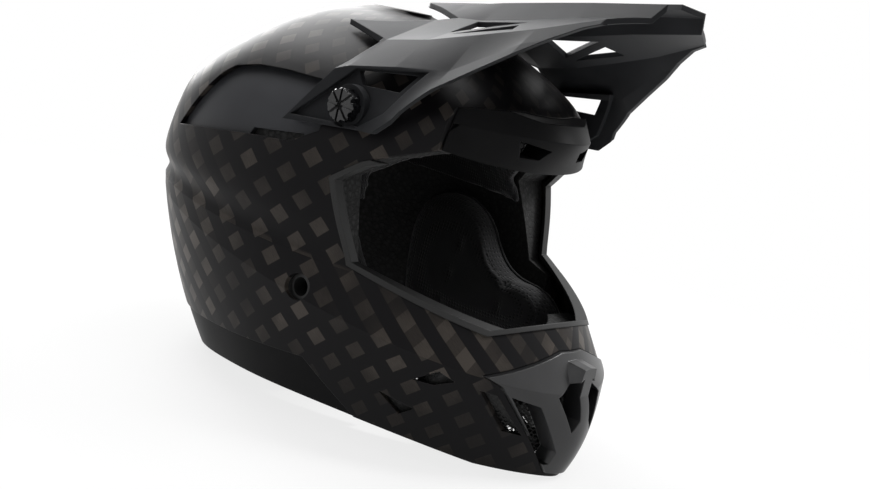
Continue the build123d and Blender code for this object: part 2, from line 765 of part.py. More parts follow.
def d_ring(place):
    """A D-ring: a straight bar through the strap's loop and a round bow that droops."""
    x, z = place
    half = (ring_inner_width + ring_wire) / 2
    bow = revolve(Plane.YZ * Pos(half, 0) * Circle(ring_wire / 2), Axis.Z, 180)
    ring = Pos(x, strap_y, z) * Rot(0, -ring_droop, 0) * bow
    ring += along_strap(ring_wire, 2 * half, x, z)
    for side in (-half, half):
        ring += Pos(x, strap_y + side, z) * Sphere(ring_wire / 2)
    return ring


def snap_strap():
    """The plain strap, with a hole near its end for the keeper snap."""
    return plain_strap() - keeper_cylinder(rivet_shank + 2 * fit_gap, -wide, wide)


def keeper_cylinder(diameter, z_from, z_to):
    x = strap_end_x + snap_button_diameter
    return Pos(x, strap_y, z_from) * Cylinder(
        diameter / 2, z_to - z_from, align=(Align.CENTER, Align.CENTER, Align.MIN))


def keeper_snap():
    """The press stud that keeps the end of the strap."""
    top = strap_low_z + strap_thickness / 2 + fit_gap
    bottom = strap_low_z - strap_thickness / 2 - fit_gap
    stud = keeper_cylinder(rivet_shank, bottom, top)
    stud += keeper_cylinder(snap_button_diameter, top, top + snap_button_thickness)
    stud += keeper_cylinder(snap_button_diameter, bottom - snap_button_thickness, bottom)
    return stud


def save(name, piece):
    export_step(piece, f"parts/{name}.step")


def save_pair(name, piece):
    """Both copies of a piece that is modelled on the +X side, the wearer's left."""
    save(f"{name}_left", piece)
    save(f"{name}_right", other_side(piece))


os.makedirs("parts", exist_ok=True)
for build_piece in (
    outer_shell, impact_liner, chin_bar_liner, base_trim, neck_roll, face_port_trim, brow_insert,
    brow_mesh, mouth_guard, mouth_filter, crown_pad, visor,
):
    save(build_piece.__name__, build_piece())
for build_piece in (
    side_panel, chin_mesh, ear_grommet, visor_screw, visor_washer, visor_nut, cheek_pad, pull_tab,
    strap_anchor,
):
    save_pair(build_piece.__name__, build_piece())
save_pair("cheek_snap_upper", cheek_snap(snap_upper_shares))
save_pair("cheek_snap_lower", cheek_snap(snap_lower_shares))
save("chin_strap_left", ring_strap())
save("chin_strap_right", other_side(snap_strap()))
save("keeper_snap", other_side(keeper_snap()))
for name, place in zip(("d_ring_outer", "d_ring_inner"), ring_places()):
    save(name, d_ring(place))
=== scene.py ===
import math

import bmesh
import bpy
from bpy.props import FloatProperty, FloatVectorProperty, IntProperty, PointerProperty
from mathutils import Matrix, Vector
from mathutils.bvhtree import BVHTree


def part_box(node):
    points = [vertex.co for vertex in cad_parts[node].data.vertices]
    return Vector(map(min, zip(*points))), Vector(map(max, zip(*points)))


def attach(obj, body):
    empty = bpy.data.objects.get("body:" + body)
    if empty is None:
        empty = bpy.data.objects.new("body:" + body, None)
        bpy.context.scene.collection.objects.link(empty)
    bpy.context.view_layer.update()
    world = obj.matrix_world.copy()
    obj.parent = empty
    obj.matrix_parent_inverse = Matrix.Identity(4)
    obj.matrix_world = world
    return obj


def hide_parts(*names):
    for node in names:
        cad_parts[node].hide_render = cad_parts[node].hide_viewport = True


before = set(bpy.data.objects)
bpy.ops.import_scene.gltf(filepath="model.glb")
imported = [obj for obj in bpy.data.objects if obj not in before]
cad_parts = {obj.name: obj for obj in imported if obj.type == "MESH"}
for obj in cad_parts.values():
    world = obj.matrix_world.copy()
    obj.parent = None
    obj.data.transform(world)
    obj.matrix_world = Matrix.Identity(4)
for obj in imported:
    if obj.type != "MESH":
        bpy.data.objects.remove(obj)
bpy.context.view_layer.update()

# Finishes and soft pieces of a full-face downhill helmet, laid over its packed
# solids. Metres, +Z up, the face looks along -Y, the wearer's right is -X.

bl_info = {
    "name": "Full-Face Downhill Helmet",
    "version": (1, 0, 0),
    "blender": (4, 5, 0),
    "location": "View3D > Sidebar > Helmet",
    "description": "Finishes, padding, straps, nets and a plain stage for a full-face helmet",
    "category": "Object",
}

MM = 0.001


# Settings

def length(name, text, value):
    return FloatProperty(
        name=name, description=text, default=value, min=0.0, unit="LENGTH", precision=5)


def colour(name, text, value):
    return FloatVectorProperty(
        name=name, description=text, default=value, size=3, subtype="COLOR", min=0, max=1)


def power(name, text, value):
    return FloatProperty(name=name, description=text, default=value, min=0.0, unit="POWER")


class HelmetSizes(bpy.types.PropertyGroup):
    """The sizes that a user would change."""
    tow_width: length("Tow Width", "Width of one carbon tow", 8.8 * MM)
    shell_round: length("Shell Edge", "Rounding seen on the shell's edges", 0.7 * MM)
    trim_round: length("Trim Edge", "Rounding seen on moulded plastic edges", 0.9 * MM)
    pad_voxel: length("Pad Voxel", "Voxel of the thick pads' mesh before they swell", 3.0 * MM)
    liner_voxel: length("Liner Voxel", "Voxel of the thin liner's mesh before it swells", 2.6 * MM)
    pad_cap: length("Pad Swell", "Most that a point of a thick pad moves", 3.5 * MM)
    liner_cap: length("Liner Swell", "Most that a point of the thin liner moves", 1.6 * MM)
    piping: length("Piping", "Diameter of the pads' piping", 2.4 * MM)
    stitch: length("Stitch", "Length of one stitch", 2.6 * MM)
    thread: length("Thread", "Diameter of the thread", 0.7 * MM)
    net_pitch: length("Net Pitch", "Width of one cell of the nets", 3.4 * MM)
    net_wire: length("Net Wire", "Diameter of the nets' wire", 0.8 * MM)
    strap_width: length("Strap Width", "Width of the chin straps", 22 * MM)
    strap_thickness: length("Strap Thickness", "Thickness of the chin straps", 2 * MM)
    tab_width: length("Tab Width", "Width of the pull tabs", 12 * MM)
    swell_steps: IntProperty(
        name="Swell Steps", description="Frames for which the pads swell", default=20, min=2)
    swell_pressure: FloatProperty(
        name="Swell Pressure", description="Pressure inside the pads", default=4.0)


class HelmetColours(bpy.types.PropertyGroup):
    """The colours of the finishes."""
    carbon_dark: colour(
        "Carbon Dark", "Tows that turn away from the light", (0.0042, 0.0038, 0.0045))
    carbon_light: colour("Carbon Light", "Tows that catch the light", (0.088, 0.076, 0.066))
    visor: colour("Visor", "Matte visor", (0.015, 0.0155, 0.017))
    panel: colour("Panel", "Satin side panels", (0.036, 0.037, 0.041))
    guard: colour("Guard", "Satin mouth guard", (0.016, 0.016, 0.017))
    trim: colour("Trim", "Matte base trim and brow", (0.0055, 0.0055, 0.0058))
    gloss: colour("Gloss", "Polished knobs and press studs", (0.006, 0.006, 0.007))
    foam: colour("Foam", "Moulded bead foam", (0.012, 0.012, 0.012))
    rubber: colour("Rubber", "Beads and washers", (0.011, 0.011, 0.011))
    lining: colour("Lining", "Crown liner and neck roll", (0.010, 0.010, 0.011))
    cheek: colour("Cheek", "Brushed cloth of the cheek pads", (0.016, 0.016, 0.017))
    net: colour("Net", "Vent nets", (0.008, 0.008, 0.008))
    webbing: colour("Webbing", "Chin straps", (0.012, 0.012, 0.012))
    tape: colour("Tape", "Pull tabs", (0.42, 0.012, 0.012))
    thread: colour("Thread", "Stitches", (0.035, 0.035, 0.037))
    steel: colour("Steel", "Rings and rivets", (0.55, 0.55, 0.57))


class HelmetStage(bpy.types.PropertyGroup):
    """The camera, the lamps and the floor."""
    lens: FloatProperty(
        name="Lens", description="Focal length on a 36 mm sensor", default=56.28, unit="CAMERA")
    top_power: power("Top Lamp", "Power of the large lamp above", 13.0)
    rear_power: power("Rear Lamp", "Power of the lamp behind", 22.0)
    high_power: power("High Lamp", "Power of the lamp high behind", 6.0)
    front_power: power("Front Lamp", "Power of the lamp in front", 14.0)
    side_power: power("Side Lamp", "Power of the lamp at the side", 0.5)
    world_level: FloatProperty(
        name="World", description="Strength of the plain world light", default=0.10)
    floor_half: length("Floor", "Half the width of the floor", 6.0)


def sizes_and_colours():
    scene = bpy.context.scene
    return scene.helmet_sizes, scene.helmet_colours


# Meshes

def add_mesh(name, points, faces, smooth=True):
    mesh = bpy.data.meshes.new(name)
    mesh.from_pydata([tuple(point) for point in points], [], faces)
    mesh.validate()
    mesh.shade_smooth() if smooth else mesh.shade_flat()
    piece = bpy.data.objects.new(name, mesh)
    bpy.context.scene.collection.objects.link(piece)
    return piece


def paint(piece, material):
    piece.data.materials.clear()
    piece.data.materials.append(material)


def finish_piece(piece, material, body, slot, *nodes):
    """Gives a piece its material and the body it moves with, and hides the solids that it stands
    for. The slot argument is not used.
    """
    paint(piece, material)
    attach(piece, body)
    if nodes:
        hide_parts(*nodes)
    return piece


def joined(name, parts, smooth=True):
    """One mesh object from lists of points and faces."""
    points, faces = [], []
    for part_points, part_faces in parts:
        start = len(points)
        points += part_points
        faces += [[start + index for index in face] for face in part_faces]
    return add_mesh(name, points, faces, smooth)


def ring_faces(rings, sides, closed):
    """Quads between rings of points that follow each other."""
    faces = []
    for ring in range(rings if closed else rings - 1):
        after = (ring + 1) % rings
        for side in range(sides):
            turn = (side + 1) % sides
            faces.append([
                ring * sides + side, ring * sides + turn,
                after * sides + turn, after * sides + side])
    if not closed:
        faces.append(list(range(sides))[::-1])
        faces.append([(rings - 1) * sides + side for side in range(sides)])
    return faces


def swept(path, section, across, closed=False):
    """Points and faces of a section carried along a path: its first axis lies along
    across, and its second is square to both the path and across."""
    points = []
    count = len(path)
    for index, place in enumerate(path):
        before = path[index - 1] if index or closed else place
        after = path[(index + 1) % count] if index < count - 1 or closed else place
        heading = (after - before).normalized()
        side = across.normalized()
        normal = heading.cross(side).normalized()
        points += [place + side * first + normal * second for first, second in section]
    return points, ring_faces(count, len(section), closed)


def tube(path, diameter, sides=8, closed=False):
    """Points and faces of a round tube along a path."""
    points = []
    count = len(path)
    normal = None
    for index, place in enumerate(path):
        before = path[index - 1] if index or closed else place
        after = path[(index + 1) % count] if index < count - 1 or closed else place
        heading = (after - before).normalized()
        if normal is None:
            normal = heading.orthogonal()
        normal = (normal - heading * normal.dot(heading)).normalized()
        other = heading.cross(normal)
        for side in range(sides):
            angle = 2 * math.pi * side / sides
            spoke = normal * math.cos(angle) + other * math.sin(angle)
            points.append(place + spoke * diameter / 2)
    return points, ring_faces(count, sides, closed)


def tape_section(width, thickness, steps=5):
    """The section of webbing: flat faces and round, thinner edges."""
    half, edge = width / 2, thickness / 2
    points = []
    for end in (1, -1):
        for step in range(steps):
            angle = math.pi * (step / (steps - 1) - 1 / 2)
            reach = half - edge + edge * math.cos(angle)
            points.append((end * reach, end * edge * math.sin(angle)))
    return points


def chain_length(chain):
    return sum((b - a).length for a, b in zip(chain, chain[1:]))


def evenly(points, spacing, closed=True):
    """A chain of points again, at even distances."""
    chain = points + points[:1] if closed else points
    total = chain_length(chain)
    count = max(int(total / spacing), 4)
    result, done, target = [], 0.0, 0.0
    for a, b in zip(chain, chain[1:]):
        run = (b - a).length
        while run > 0 and target <= done + run and len(result) < count:
            result.append(a.lerp(b, (target - done) / run))
            target += total / count
        done += run
    return result


def relaxed(points, rounds):
    """A closed chain of points, smoothed."""
    for _ in range(rounds):
        points = [
            (points[index - 1] + points[index] * 2 + points[(index + 1) % len(points)]) / 4
            for index in range(len(points))]
    return points


SHORTEST_CHAIN = 8


def outlines(piece, place, normal):
    """The closed chains in which a plane cuts a piece, the longest first."""
    mesh = bmesh.new()
    mesh.from_mesh(piece.data)
    whole = mesh.verts[:] + mesh.edges[:] + mesh.faces[:]
    cut = bmesh.ops.bisect_plane(mesh, geom=whole, plane_co=place, plane_no=normal)
    links = {}
    for edge in cut["geom_cut"]:
        if isinstance(edge, bmesh.types.BMEdge):
            first, second = edge.verts
            links.setdefault(first, []).append(second)
            links.setdefault(second, []).append(first)
    chains = []
    seen = set()
    for start in links:
        if start in seen:
            continue
        chain, here = [], start
        while here is not None:
            seen.add(here)
            chain.append(here.co.copy())
            here = next((other for other in links[here] if other not in seen), None)
        if len(chain) > SHORTEST_CHAIN:
            chains.append(chain)
    mesh.free()
    return sorted(chains, key=chain_length, reverse=True)


def stitches(chain, stitch, thread, closed=True):
    """Short threads along a chain, with gaps between them."""
    parts = []
    pitch = stitch * 1.5
    spots = evenly(chain, pitch / 3, closed)
    for index in range(0, len(spots) - 2, 3):
        parts.append(tube([spots[index], spots[index + 1], spots[index + 2]], thread, 6))
    return parts


def evaluated_mesh(piece):
    """The piece's mesh with its modifiers applied."""
    graph = bpy.context.evaluated_depsgraph_get()
    return bpy.data.meshes.new_from_object(piece.evaluated_get(graph))


def apply_modifiers(piece):
    mesh = evaluated_mesh(piece)
    piece.modifiers.clear()
    piece.data = mesh


def pad_from(node, name, voxel, cap, shrink):
    """A swollen cloth form of a pad's solid: voxels, air pressure, then one subdivision."""
    sizes = bpy.context.scene.helmet_sizes
    piece = bpy.data.objects.new(name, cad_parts[node].data.copy())
    bpy.context.scene.collection.objects.link(piece)
    mesh = bmesh.new()
    mesh.from_mesh(piece.data)
    bmesh.ops.remove_doubles(mesh, verts=mesh.verts, dist=MM / 100)
    mesh.to_mesh(piece.data)
    mesh.free()
    piece.data.materials.clear()
    remesh = piece.modifiers.new("voxels", "REMESH")
    remesh.mode = "VOXEL"
    remesh.voxel_size = voxel
    apply_modifiers(piece)
    smooth = piece.modifiers.new("smooth", "SMOOTH")
    smooth.factor = 0.5
    smooth.iterations = 2
    apply_modifiers(piece)
    for vertex in piece.data.vertices:
        vertex.co -= vertex.normal * shrink
    swell(piece, sizes.swell_pressure, sizes.swell_steps, cap)
    subdivision = piece.modifiers.new("subdivision", "SUBSURF")
    subdivision.levels = subdivision.render_levels = 1
    apply_modifiers(piece)
    piece.data.shade_smooth()
    return piece


PAD_STIFFNESS = 25


def swell(piece, pressure, steps, cap):
    """Blows the piece up like a cushion, and keeps each point within cap of its start."""
    start = [vertex.co.copy() for vertex in piece.data.vertices]
    cloth = piece.modifiers.new("cloth", "CLOTH")
    cloth.settings.quality = 5
    cloth.settings.use_pressure = True
    cloth.settings.uniform_pressure_force = pressure
    cloth.settings.effector_weights.gravity = 0
    cloth.settings.tension_stiffness = PAD_STIFFNESS
    cloth.settings.compression_stiffness = PAD_STIFFNESS
    cloth.collision_settings.use_collision = False
    cloth.point_cache.frame_start = 1
    cloth.point_cache.frame_end = steps
    scene = bpy.context.scene
    for step in range(1, steps + 1):
        scene.frame_set(step)
        bpy.context.view_layer.update()
    swollen = evaluated_mesh(piece)
    piece.modifiers.clear()
    piece.data = swollen
    for vertex, before in zip(piece.data.vertices, start):
        move = vertex.co - before
        if move.length > cap:
            vertex.co = before + move.normalized() * cap
    scene.frame_set(1)


# Materials

class Graph:
    """Adds nodes to a tree and joins them."""

    def __init__(self, tree):
        self.tree = tree

    def node(self, kind, **values):
        made = self.tree.nodes.new(kind)
        for key, value in values.items():
            setattr(made, key, value)
        return made

    def put(self, socket, value):
        if isinstance(value, bpy.types.NodeSocket):
            self.tree.links.new(value, socket)
        else:
            socket.default_value = value

    def math(self, operation, first, second=None):
        made = self.node("ShaderNodeMath", operation=operation)
        self.put(made.inputs[0], first)
        if second is not None:
            self.put(made.inputs[1], second)
        return made.outputs[0]

    def times(self, *values):
        """The product of two or more numbers."""
        product = values[0]
        for value in values[1:]:
            product = self.math("MULTIPLY", product, value)
        return product

    def vector(self, operation, first, second=None):
        made = self.node("ShaderNodeVectorMath", operation=operation)
        self.put(made.inputs[0], first)
        if second is not None:
            self.put(made.inputs[1], second)
        return made.outputs["Value" if operation in ("DOT_PRODUCT", "LENGTH") else "Vector"]

    def ramp(self, value, low, high, to_low=0.0, to_high=1.0):
        made = self.node("ShaderNodeMapRange", interpolation_type="SMOOTHSTEP")
        for name, number in (
                ("Value", value), ("From Min", low), ("From Max", high),
                ("To Min", to_low), ("To Max", to_high)):
            self.put(made.inputs[name], number)
        return made.outputs["Result"]

    def mix(self, amount, first, second):
        made = self.node("ShaderNodeMix", data_type="RGBA")
        self.put(made.inputs["Factor"], amount)
        for name, value in (("A", first), ("B", second)):
            fixed = not isinstance(value, bpy.types.NodeSocket)
            self.put(made.inputs[name], (*value, 1) if fixed else value)
        return made.outputs["Result"]

    def noise(self, vector, scale, detail, roughness=0.5):
        made = self.node("ShaderNodeTexNoise")
        for name, number in (
                ("Vector", vector), ("Scale", scale), ("Detail", detail), ("Roughness", roughness)):
            self.put(made.inputs[name], number)
        return made.outputs["Fac"]

    def cells(self, vector, scale, feature="F1", randomness=1.0):
        made = self.node("ShaderNodeTexVoronoi", feature=feature)
        for name, number in (("Vector", vector), ("Scale", scale), ("Randomness", randomness)):
            self.put(made.inputs[name], number)
        return made.outputs["Distance"]

    def split(self, vector):
        made = self.node("ShaderNodeSeparateXYZ")
        self.put(made.inputs[0], vector)
        return made.outputs

    def joined(self, x, y, z):
        made = self.node("ShaderNodeCombineXYZ")
        for socket, value in zip(made.inputs, (x, y, z)):
            self.put(socket, value)
        return made.outputs[0]

    def group(self, tree, **values):
        made = self.node("ShaderNodeGroup", node_tree=tree)
        for key, value in values.items():
            self.put(made.inputs[key.replace("_", " ")], value)
        return made.outputs


def new_group(name, inputs, outputs):
    """A shader node group with named sockets, and the graph that fills it."""
    tree = bpy.data.node_groups.new(name, "ShaderNodeTree")
    for kind, rows in (("INPUT", inputs), ("OUTPUT", outputs)):
        for label, socket_type, value in rows:
            socket = tree.interface.new_socket(name=label, in_out=kind, socket_type=socket_type)
            if value is not None:
                socket.default_value = value
    graph = Graph(tree)
    return graph, graph.node("NodeGroupInput").outputs, graph.node("NodeGroupOutput").inputs


FLOAT, VECTOR = "NodeSocketFloat", "NodeSocketVector"

# The weave is wrapped round this point. The helmet counts as this much shorter than
# it is, and the tows are measured at these radii round it and up it.
WRAP_CENTRE = (0, 0.018, 0.14)
LENGTH_SHARE = 0.75
GIRTH_RADIUS = 0.145
RISE_RADIUS = 0.118
TOW_EDGE = 0.10


def weave_group():
    """Spread tows laid at 45 degrees, wrapped round the helmet."""
    graph, given, result = new_group(
        "Tow Weave", [("Position", VECTOR, None), ("Tow Width", FLOAT, 8.8 * MM)],
        [(name, FLOAT, None) for name in ("Squares", "Bands", "Streaks", "Relief")])
    x, y, z = graph.split(graph.vector("SUBTRACT", given["Position"], WRAP_CENTRE))
    x = graph.math("ABSOLUTE", x)
    along = graph.times(y, LENGTH_SHARE)
    reach = graph.math("SQRT", graph.math("ADD", graph.times(x, x), graph.times(along, along)))
    girth = graph.times(graph.math("ARCTAN2", along, x), GIRTH_RADIUS)
    upper = graph.math("MAXIMUM", z, 0.0)
    rise = graph.times(graph.math("ARCTAN2", upper, reach), RISE_RADIUS)
    rise = graph.math("ADD", rise, graph.math("MINIMUM", z, 0.0))
    step = graph.times(given["Tow Width"], math.sqrt(2))
    down = graph.math("DIVIDE", graph.math("SUBTRACT", girth, rise), step)
    back = graph.math("DIVIDE", graph.math("ADD", girth, rise), step)
    waves = [graph.math("SINE", graph.times(place, math.pi)) for place in (down, back)]
    tows = [graph.ramp(wave, -TOW_EDGE, TOW_EDGE) for wave in waves]
    numbers = graph.joined(graph.math("FLOOR", down), graph.math("FLOOR", back), 0.0)
    chance = graph.node("ShaderNodeTexWhiteNoise", noise_dimensions="2D")
    graph.put(chance.inputs["Vector"], numbers)
    own = graph.ramp(chance.outputs["Value"], 0.0, 1.0, 0.45, 1.0)
    graph.put(result["Squares"], graph.times(tows[0], tows[1], own))
    graph.put(result["Bands"], tows[0])
    fibres = graph.joined(graph.times(down, 9.0), graph.times(back, 0.7), 0.0)
    graph.put(result["Streaks"], graph.noise(fibres, 3.0, 3.0))
    crests = [graph.math("ABSOLUTE", wave) for wave in waves]
    graph.put(result["Relief"], graph.times(*crests))
    return graph.tree


def grain_group():
    """The fine grain of moulded plastic, with slow changes of gloss."""
    graph, given, result = new_group(
        "Moulded Grain", [("Position", VECTOR, None), ("Scale", FLOAT, 900.0)],
        [("Height", FLOAT, None), ("Mottle", FLOAT, None)])
    graph.put(result["Height"], graph.noise(given["Position"], given["Scale"], 3.0, 0.6))
    graph.put(result["Mottle"], graph.noise(given["Position"], 14.0, 3.0, 0.55))
    return graph.tree


def edge_group():
    """Where a rounded normal leaves the true one: 1 on edges, 0 on faces. The mask places a painted
    highlight along edges, broken by noise.
    """
    graph, given, result = new_group(
        "Edge Rub", [("Rounded", VECTOR, None), ("Flat", VECTOR, None), ("Position", VECTOR, None)],
        [("Mask", FLOAT, None)])
    agreement = graph.vector("DOT_PRODUCT", given["Rounded"], given["Flat"])
    turned = graph.math("SUBTRACT", 1.0, agreement)
    edge_highlight = graph.ramp(turned, 0.02, 0.22)
    broken = graph.ramp(graph.noise(given["Position"], 90.0, 4.0), 0.25, 0.60, 0.35, 1.0)
    graph.put(result["Mask"], graph.times(edge_highlight, broken))
    return graph.tree


def knit_group():
    """Cloth with open cells: a raised knit round small holes, with painted shade in the holes."""
    graph, given, result = new_group(
        "Open Knit", [("Position", VECTOR, None), ("Pitch", FLOAT, 2.2 * MM)],
        [("Height", FLOAT, None), ("Holes", FLOAT, None)])
    scale = graph.math("DIVIDE", 1.0, given["Pitch"])
    distance = graph.cells(given["Position"], scale, randomness=0.18)
    graph.put(result["Holes"], graph.ramp(distance, 0.18, 0.36, 1.0, 0.0))
    fluff = graph.noise(given["Position"], 2600.0, 2.0)
    raised = graph.ramp(distance, 0.15, 0.5)
    graph.put(result["Height"], graph.math("ADD", raised, graph.times(fluff, 0.35)))
    return graph.tree


def webbing_group():
    """The slanting ribs of woven webbing."""
    graph, given, result = new_group(
        "Webbing Weave", [("Position", VECTOR, None), ("Pitch", FLOAT, 1.6 * MM)],
        [("Height", FLOAT, None), ("Shade", FLOAT, None)])
    x, y, z = graph.split(given["Position"])
    along = graph.math("ADD", x, z)
    scale = graph.math("DIVIDE", 2 * math.pi, given["Pitch"])
    first = graph.math("SINE", graph.times(graph.math("ADD", along, y), scale))
    second = graph.math("SINE", graph.times(graph.math("SUBTRACT", along, y), scale))
    height = graph.math("MAXIMUM", first, second)
    graph.put(result["Height"], height)
    graph.put(result["Shade"], graph.ramp(height, -0.4, 1.0, 0.55, 1.0))
    return graph.tree


class Finish:
    """One material with a Principled BSDF and object coordinates."""

    def __init__(self, name, roughness, specular=0.5, metallic=0.0):
        self.material = bpy.data.materials.new(name)
        self.material.use_nodes = True
        self.graph = Graph(self.material.node_tree)
        self.material.node_tree.nodes.clear()
        self.surface = self.graph.node("ShaderNodeBsdfPrincipled")
        output = self.graph.node("ShaderNodeOutputMaterial")
        self.graph.put(output.inputs["Surface"], self.surface.outputs["BSDF"])
        self.position = self.graph.node("ShaderNodeTexCoord").outputs["Object"]
        self.normal = None
        self.set("Roughness", roughness)
        self.set("Specular IOR Level", specular)
        self.set("Metallic", metallic)

    def set(self, socket, value):
        if isinstance(value, tuple) and len(value) == 3:
            value = (*value, 1)
        self.graph.put(self.surface.inputs[socket], value)

    def rounded(self, radius):
        """Softens hard edges in the shading."""
        bevel = self.graph.node("ShaderNodeBevel", samples=6)
        bevel.inputs["Radius"].default_value = radius
        self.normal = bevel.outputs["Normal"]
        self.set("Normal", self.normal)
        return self.normal

    def bump(self, height, distance, strength=1.0):
        bump = self.graph.node("ShaderNodeBump")
        bump.inputs["Strength"].default_value = strength
        bump.inputs["Distance"].default_value = distance
        self.graph.put(bump.inputs["Height"], height)
        if self.normal:
            self.graph.put(bump.inputs["Normal"], self.normal)
        self.set("Normal", bump.outputs["Normal"])

    def flat_normal(self):
        return self.graph.node("ShaderNodeNewGeometry").outputs["Normal"]

    def group(self, build, name, **values):
        """The outputs of a shared node group at the material's coordinates."""
        tree = bpy.data.node_groups.get(name) or build()
        return self.graph.group(tree, Position=self.position, **values)


def scaled(base, factor, added=0.0):
    """A colour made lighter or darker."""
    return tuple(min(value * factor + added, 1) for value in base)


# Behind the first of these two places the tows show as bands, fully so at the second,
# and so they do on faces that look up and lie between these two heights or lower, where the bands
# are a painted sheen.
BANDS_FROM, BANDS_FULL = 0.02, 0.12
LEDGE_TOP, LEDGE_FULL = 0.13, 0.11
BAND_LEVEL = 0.55
# The colour of the painted highlight along the shell's edges.
CARBON_HIGHLIGHT = (0.05, 0.048, 0.047)


def carbon_finish():
    sizes, colours = sizes_and_colours()
    finish = Finish("matte_carbon", 0.38, 0.10)
    graph = finish.graph
    weave = finish.group(weave_group, "Tow Weave", Tow_Width=sizes.tow_width)
    grain = finish.group(grain_group, "Moulded Grain", Scale=1200.0)
    flat = finish.flat_normal()
    rounded = finish.rounded(sizes.shell_round)
    place = graph.split(finish.position)
    turned = graph.split(flat)["Z"]
    rear = graph.ramp(place["Y"], BANDS_FROM, BANDS_FULL)
    low = graph.ramp(place["Z"], LEDGE_TOP, LEDGE_FULL)
    # Faces that look up and lie low get extra lighter bands: a painted sheen.
    ledge_sheen = graph.times(graph.ramp(turned, 0.20, 0.50), low)
    banded = graph.times(graph.math("MAXIMUM", rear, ledge_sheen), BAND_LEVEL)
    pattern = graph.math("ADD", weave["Squares"], graph.times(weave["Bands"], banded))
    streaks = graph.ramp(weave["Streaks"], 0.30, 0.70, 0.72, 1.0)
    patches = graph.ramp(grain["Mottle"], 0.36, 0.62, 0.30, 1.0)
    # Faces that look up are painted darker: the tows' painted sheen is dimmed there.
    crown = graph.ramp(turned, 0.55, 0.95, 1.0, 0.35)
    amount = graph.times(pattern, streaks, graph.times(patches, crown))
    woven = graph.mix(amount, tuple(colours.carbon_dark), tuple(colours.carbon_light))
    edge_highlight = finish.group(edge_group, "Edge Rub", Rounded=rounded, Flat=flat)
    # Edges are painted towards a lighter colour: a painted highlight.
    finish.set("Base Color", graph.mix(graph.times(edge_highlight["Mask"], 0.5), woven, CARBON_HIGHLIGHT))
    finish.set("Roughness", graph.ramp(amount, 0.0, 1.0, 0.39, 0.34))
    height = graph.math("ADD", graph.times(weave["Relief"], 0.4), grain["Height"])
    finish.bump(height, 0.02 * MM, 0.6)
    return finish.material


def moulded_finish(name, base, roughness, specular, round_size, highlight_level=0.5):
    finish = Finish(name, roughness, specular)
    graph = finish.graph
    grain = finish.group(grain_group, "Moulded Grain", Scale=1000.0)
    flat = finish.flat_normal()
    rounded = finish.rounded(round_size)
    edge_highlight = finish.group(edge_group, "Edge Rub", Rounded=rounded, Flat=flat)
    mottle = grain["Mottle"]
    body = graph.mix(graph.ramp(mottle, 0.35, 0.65), base, scaled(base, 1.35, 0.002))
    # Edges are painted lighter here: a painted highlight along them.
    highlight_colour = scaled(base, 2.2, 0.012)
    finish.set("Base Color", graph.mix(graph.times(edge_highlight["Mask"], highlight_level), body, highlight_colour))
    finish.set("Roughness", graph.ramp(mottle, 0.3, 0.7, roughness - 0.03, roughness + 0.04))
    finish.bump(grain["Height"], 0.04 * MM, 0.7)
    return finish.material


def gloss_finish():
    finish = Finish("gloss_black", 0.14, 0.5)
    grain = finish.group(grain_group, "Moulded Grain", Scale=500.0)
    finish.rounded(0.35 * MM)
    finish.set("Base Color", tuple(bpy.context.scene.helmet_colours.gloss))
    finish.set("Roughness", finish.graph.ramp(grain["Mottle"], 0.3, 0.7, 0.10, 0.20))
    finish.bump(grain["Height"], 0.01 * MM, 0.3)
    return finish.material


BEADS_PER_METRE = 300.0


def foam_finish():
    base = tuple(bpy.context.scene.helmet_colours.foam)
    finish = Finish("bead_foam", 0.62, 0.3)
    graph = finish.graph
    beads = graph.cells(finish.position, BEADS_PER_METRE)
    seams = graph.cells(finish.position, BEADS_PER_METRE, "DISTANCE_TO_EDGE")
    finish.rounded(1.0 * MM)
    finish.set("Base Color", graph.mix(graph.ramp(beads, 0.0, 0.7), scaled(base, 1.9), base))
    finish.set("Roughness", graph.ramp(beads, 0.0, 0.6, 0.50, 0.72))
    finish.bump(graph.ramp(seams, 0.0, 0.22), 0.22 * MM, 0.8)
    return finish.material


def cloth_finish(name, base, pitch, sheen):
    finish = Finish(name, 0.92, 0.2)
    graph = finish.graph
    knit = finish.group(knit_group, "Open Knit", Pitch=pitch)
    fade = graph.noise(finish.position, 30.0, 3.0)
    body = graph.mix(graph.ramp(fade, 0.35, 0.65), base, scaled(base, 1.4))
    # The holes are painted darker: painted shade in the open cells.
    finish.set("Base Color", graph.mix(knit["Holes"], body, scaled(base, 0.35)))
    finish.set("Sheen Weight", sheen)
    finish.bump(knit["Height"], 0.35 * MM, 0.8)
    return finish.material


def woven_finish(name, base, pitch):
    finish = Finish(name, 0.72, 0.3)
    graph = finish.graph
    weave = finish.group(webbing_group, "Webbing Weave", Pitch=pitch)
    finish.set("Base Color", graph.mix(weave["Shade"], scaled(base, 0.5), base))
    finish.set("Sheen Weight", 0.15)
    finish.bump(weave["Height"], 0.16 * MM, 0.8)
    return finish.material


def thread_finish():
    finish = Finish("thread", 0.7, 0.3)
    twist = finish.graph.noise(finish.position, 2200.0, 1.0)
    base = tuple(bpy.context.scene.helmet_colours.thread)
    finish.set("Base Color", finish.graph.mix(twist, scaled(base, 0.6), base))
    finish.bump(twist, 0.05 * MM)
    return finish.material


def steel_finish():
    base = tuple(bpy.context.scene.helmet_colours.steel)
    finish = Finish("brushed_steel", 0.28, 0.5, 1.0)
    graph = finish.graph
    stretched = graph.vector("MULTIPLY", finish.position, (1.0, 0.06, 1.0))
    brush = graph.noise(stretched, 2400.0, 2.0)
    finish.set("Base Color", graph.mix(brush, scaled(base, 0.8), base))
    finish.set("Roughness", graph.ramp(brush, 0.2, 0.8, 0.22, 0.38))
    finish.bump(brush, 0.01 * MM, 0.5)
    return finish.material


def seen_rays(graph):
    """1 for rays from the camera, off gloss and through clear pieces."""
    path = graph.node("ShaderNodeLightPath").outputs
    seen = graph.math("MAXIMUM", path["Is Camera Ray"], path["Is Glossy Ray"])
    return graph.math("MAXIMUM", seen, path["Is Transmission Ray"])


WHITE_NEAR = 0.80


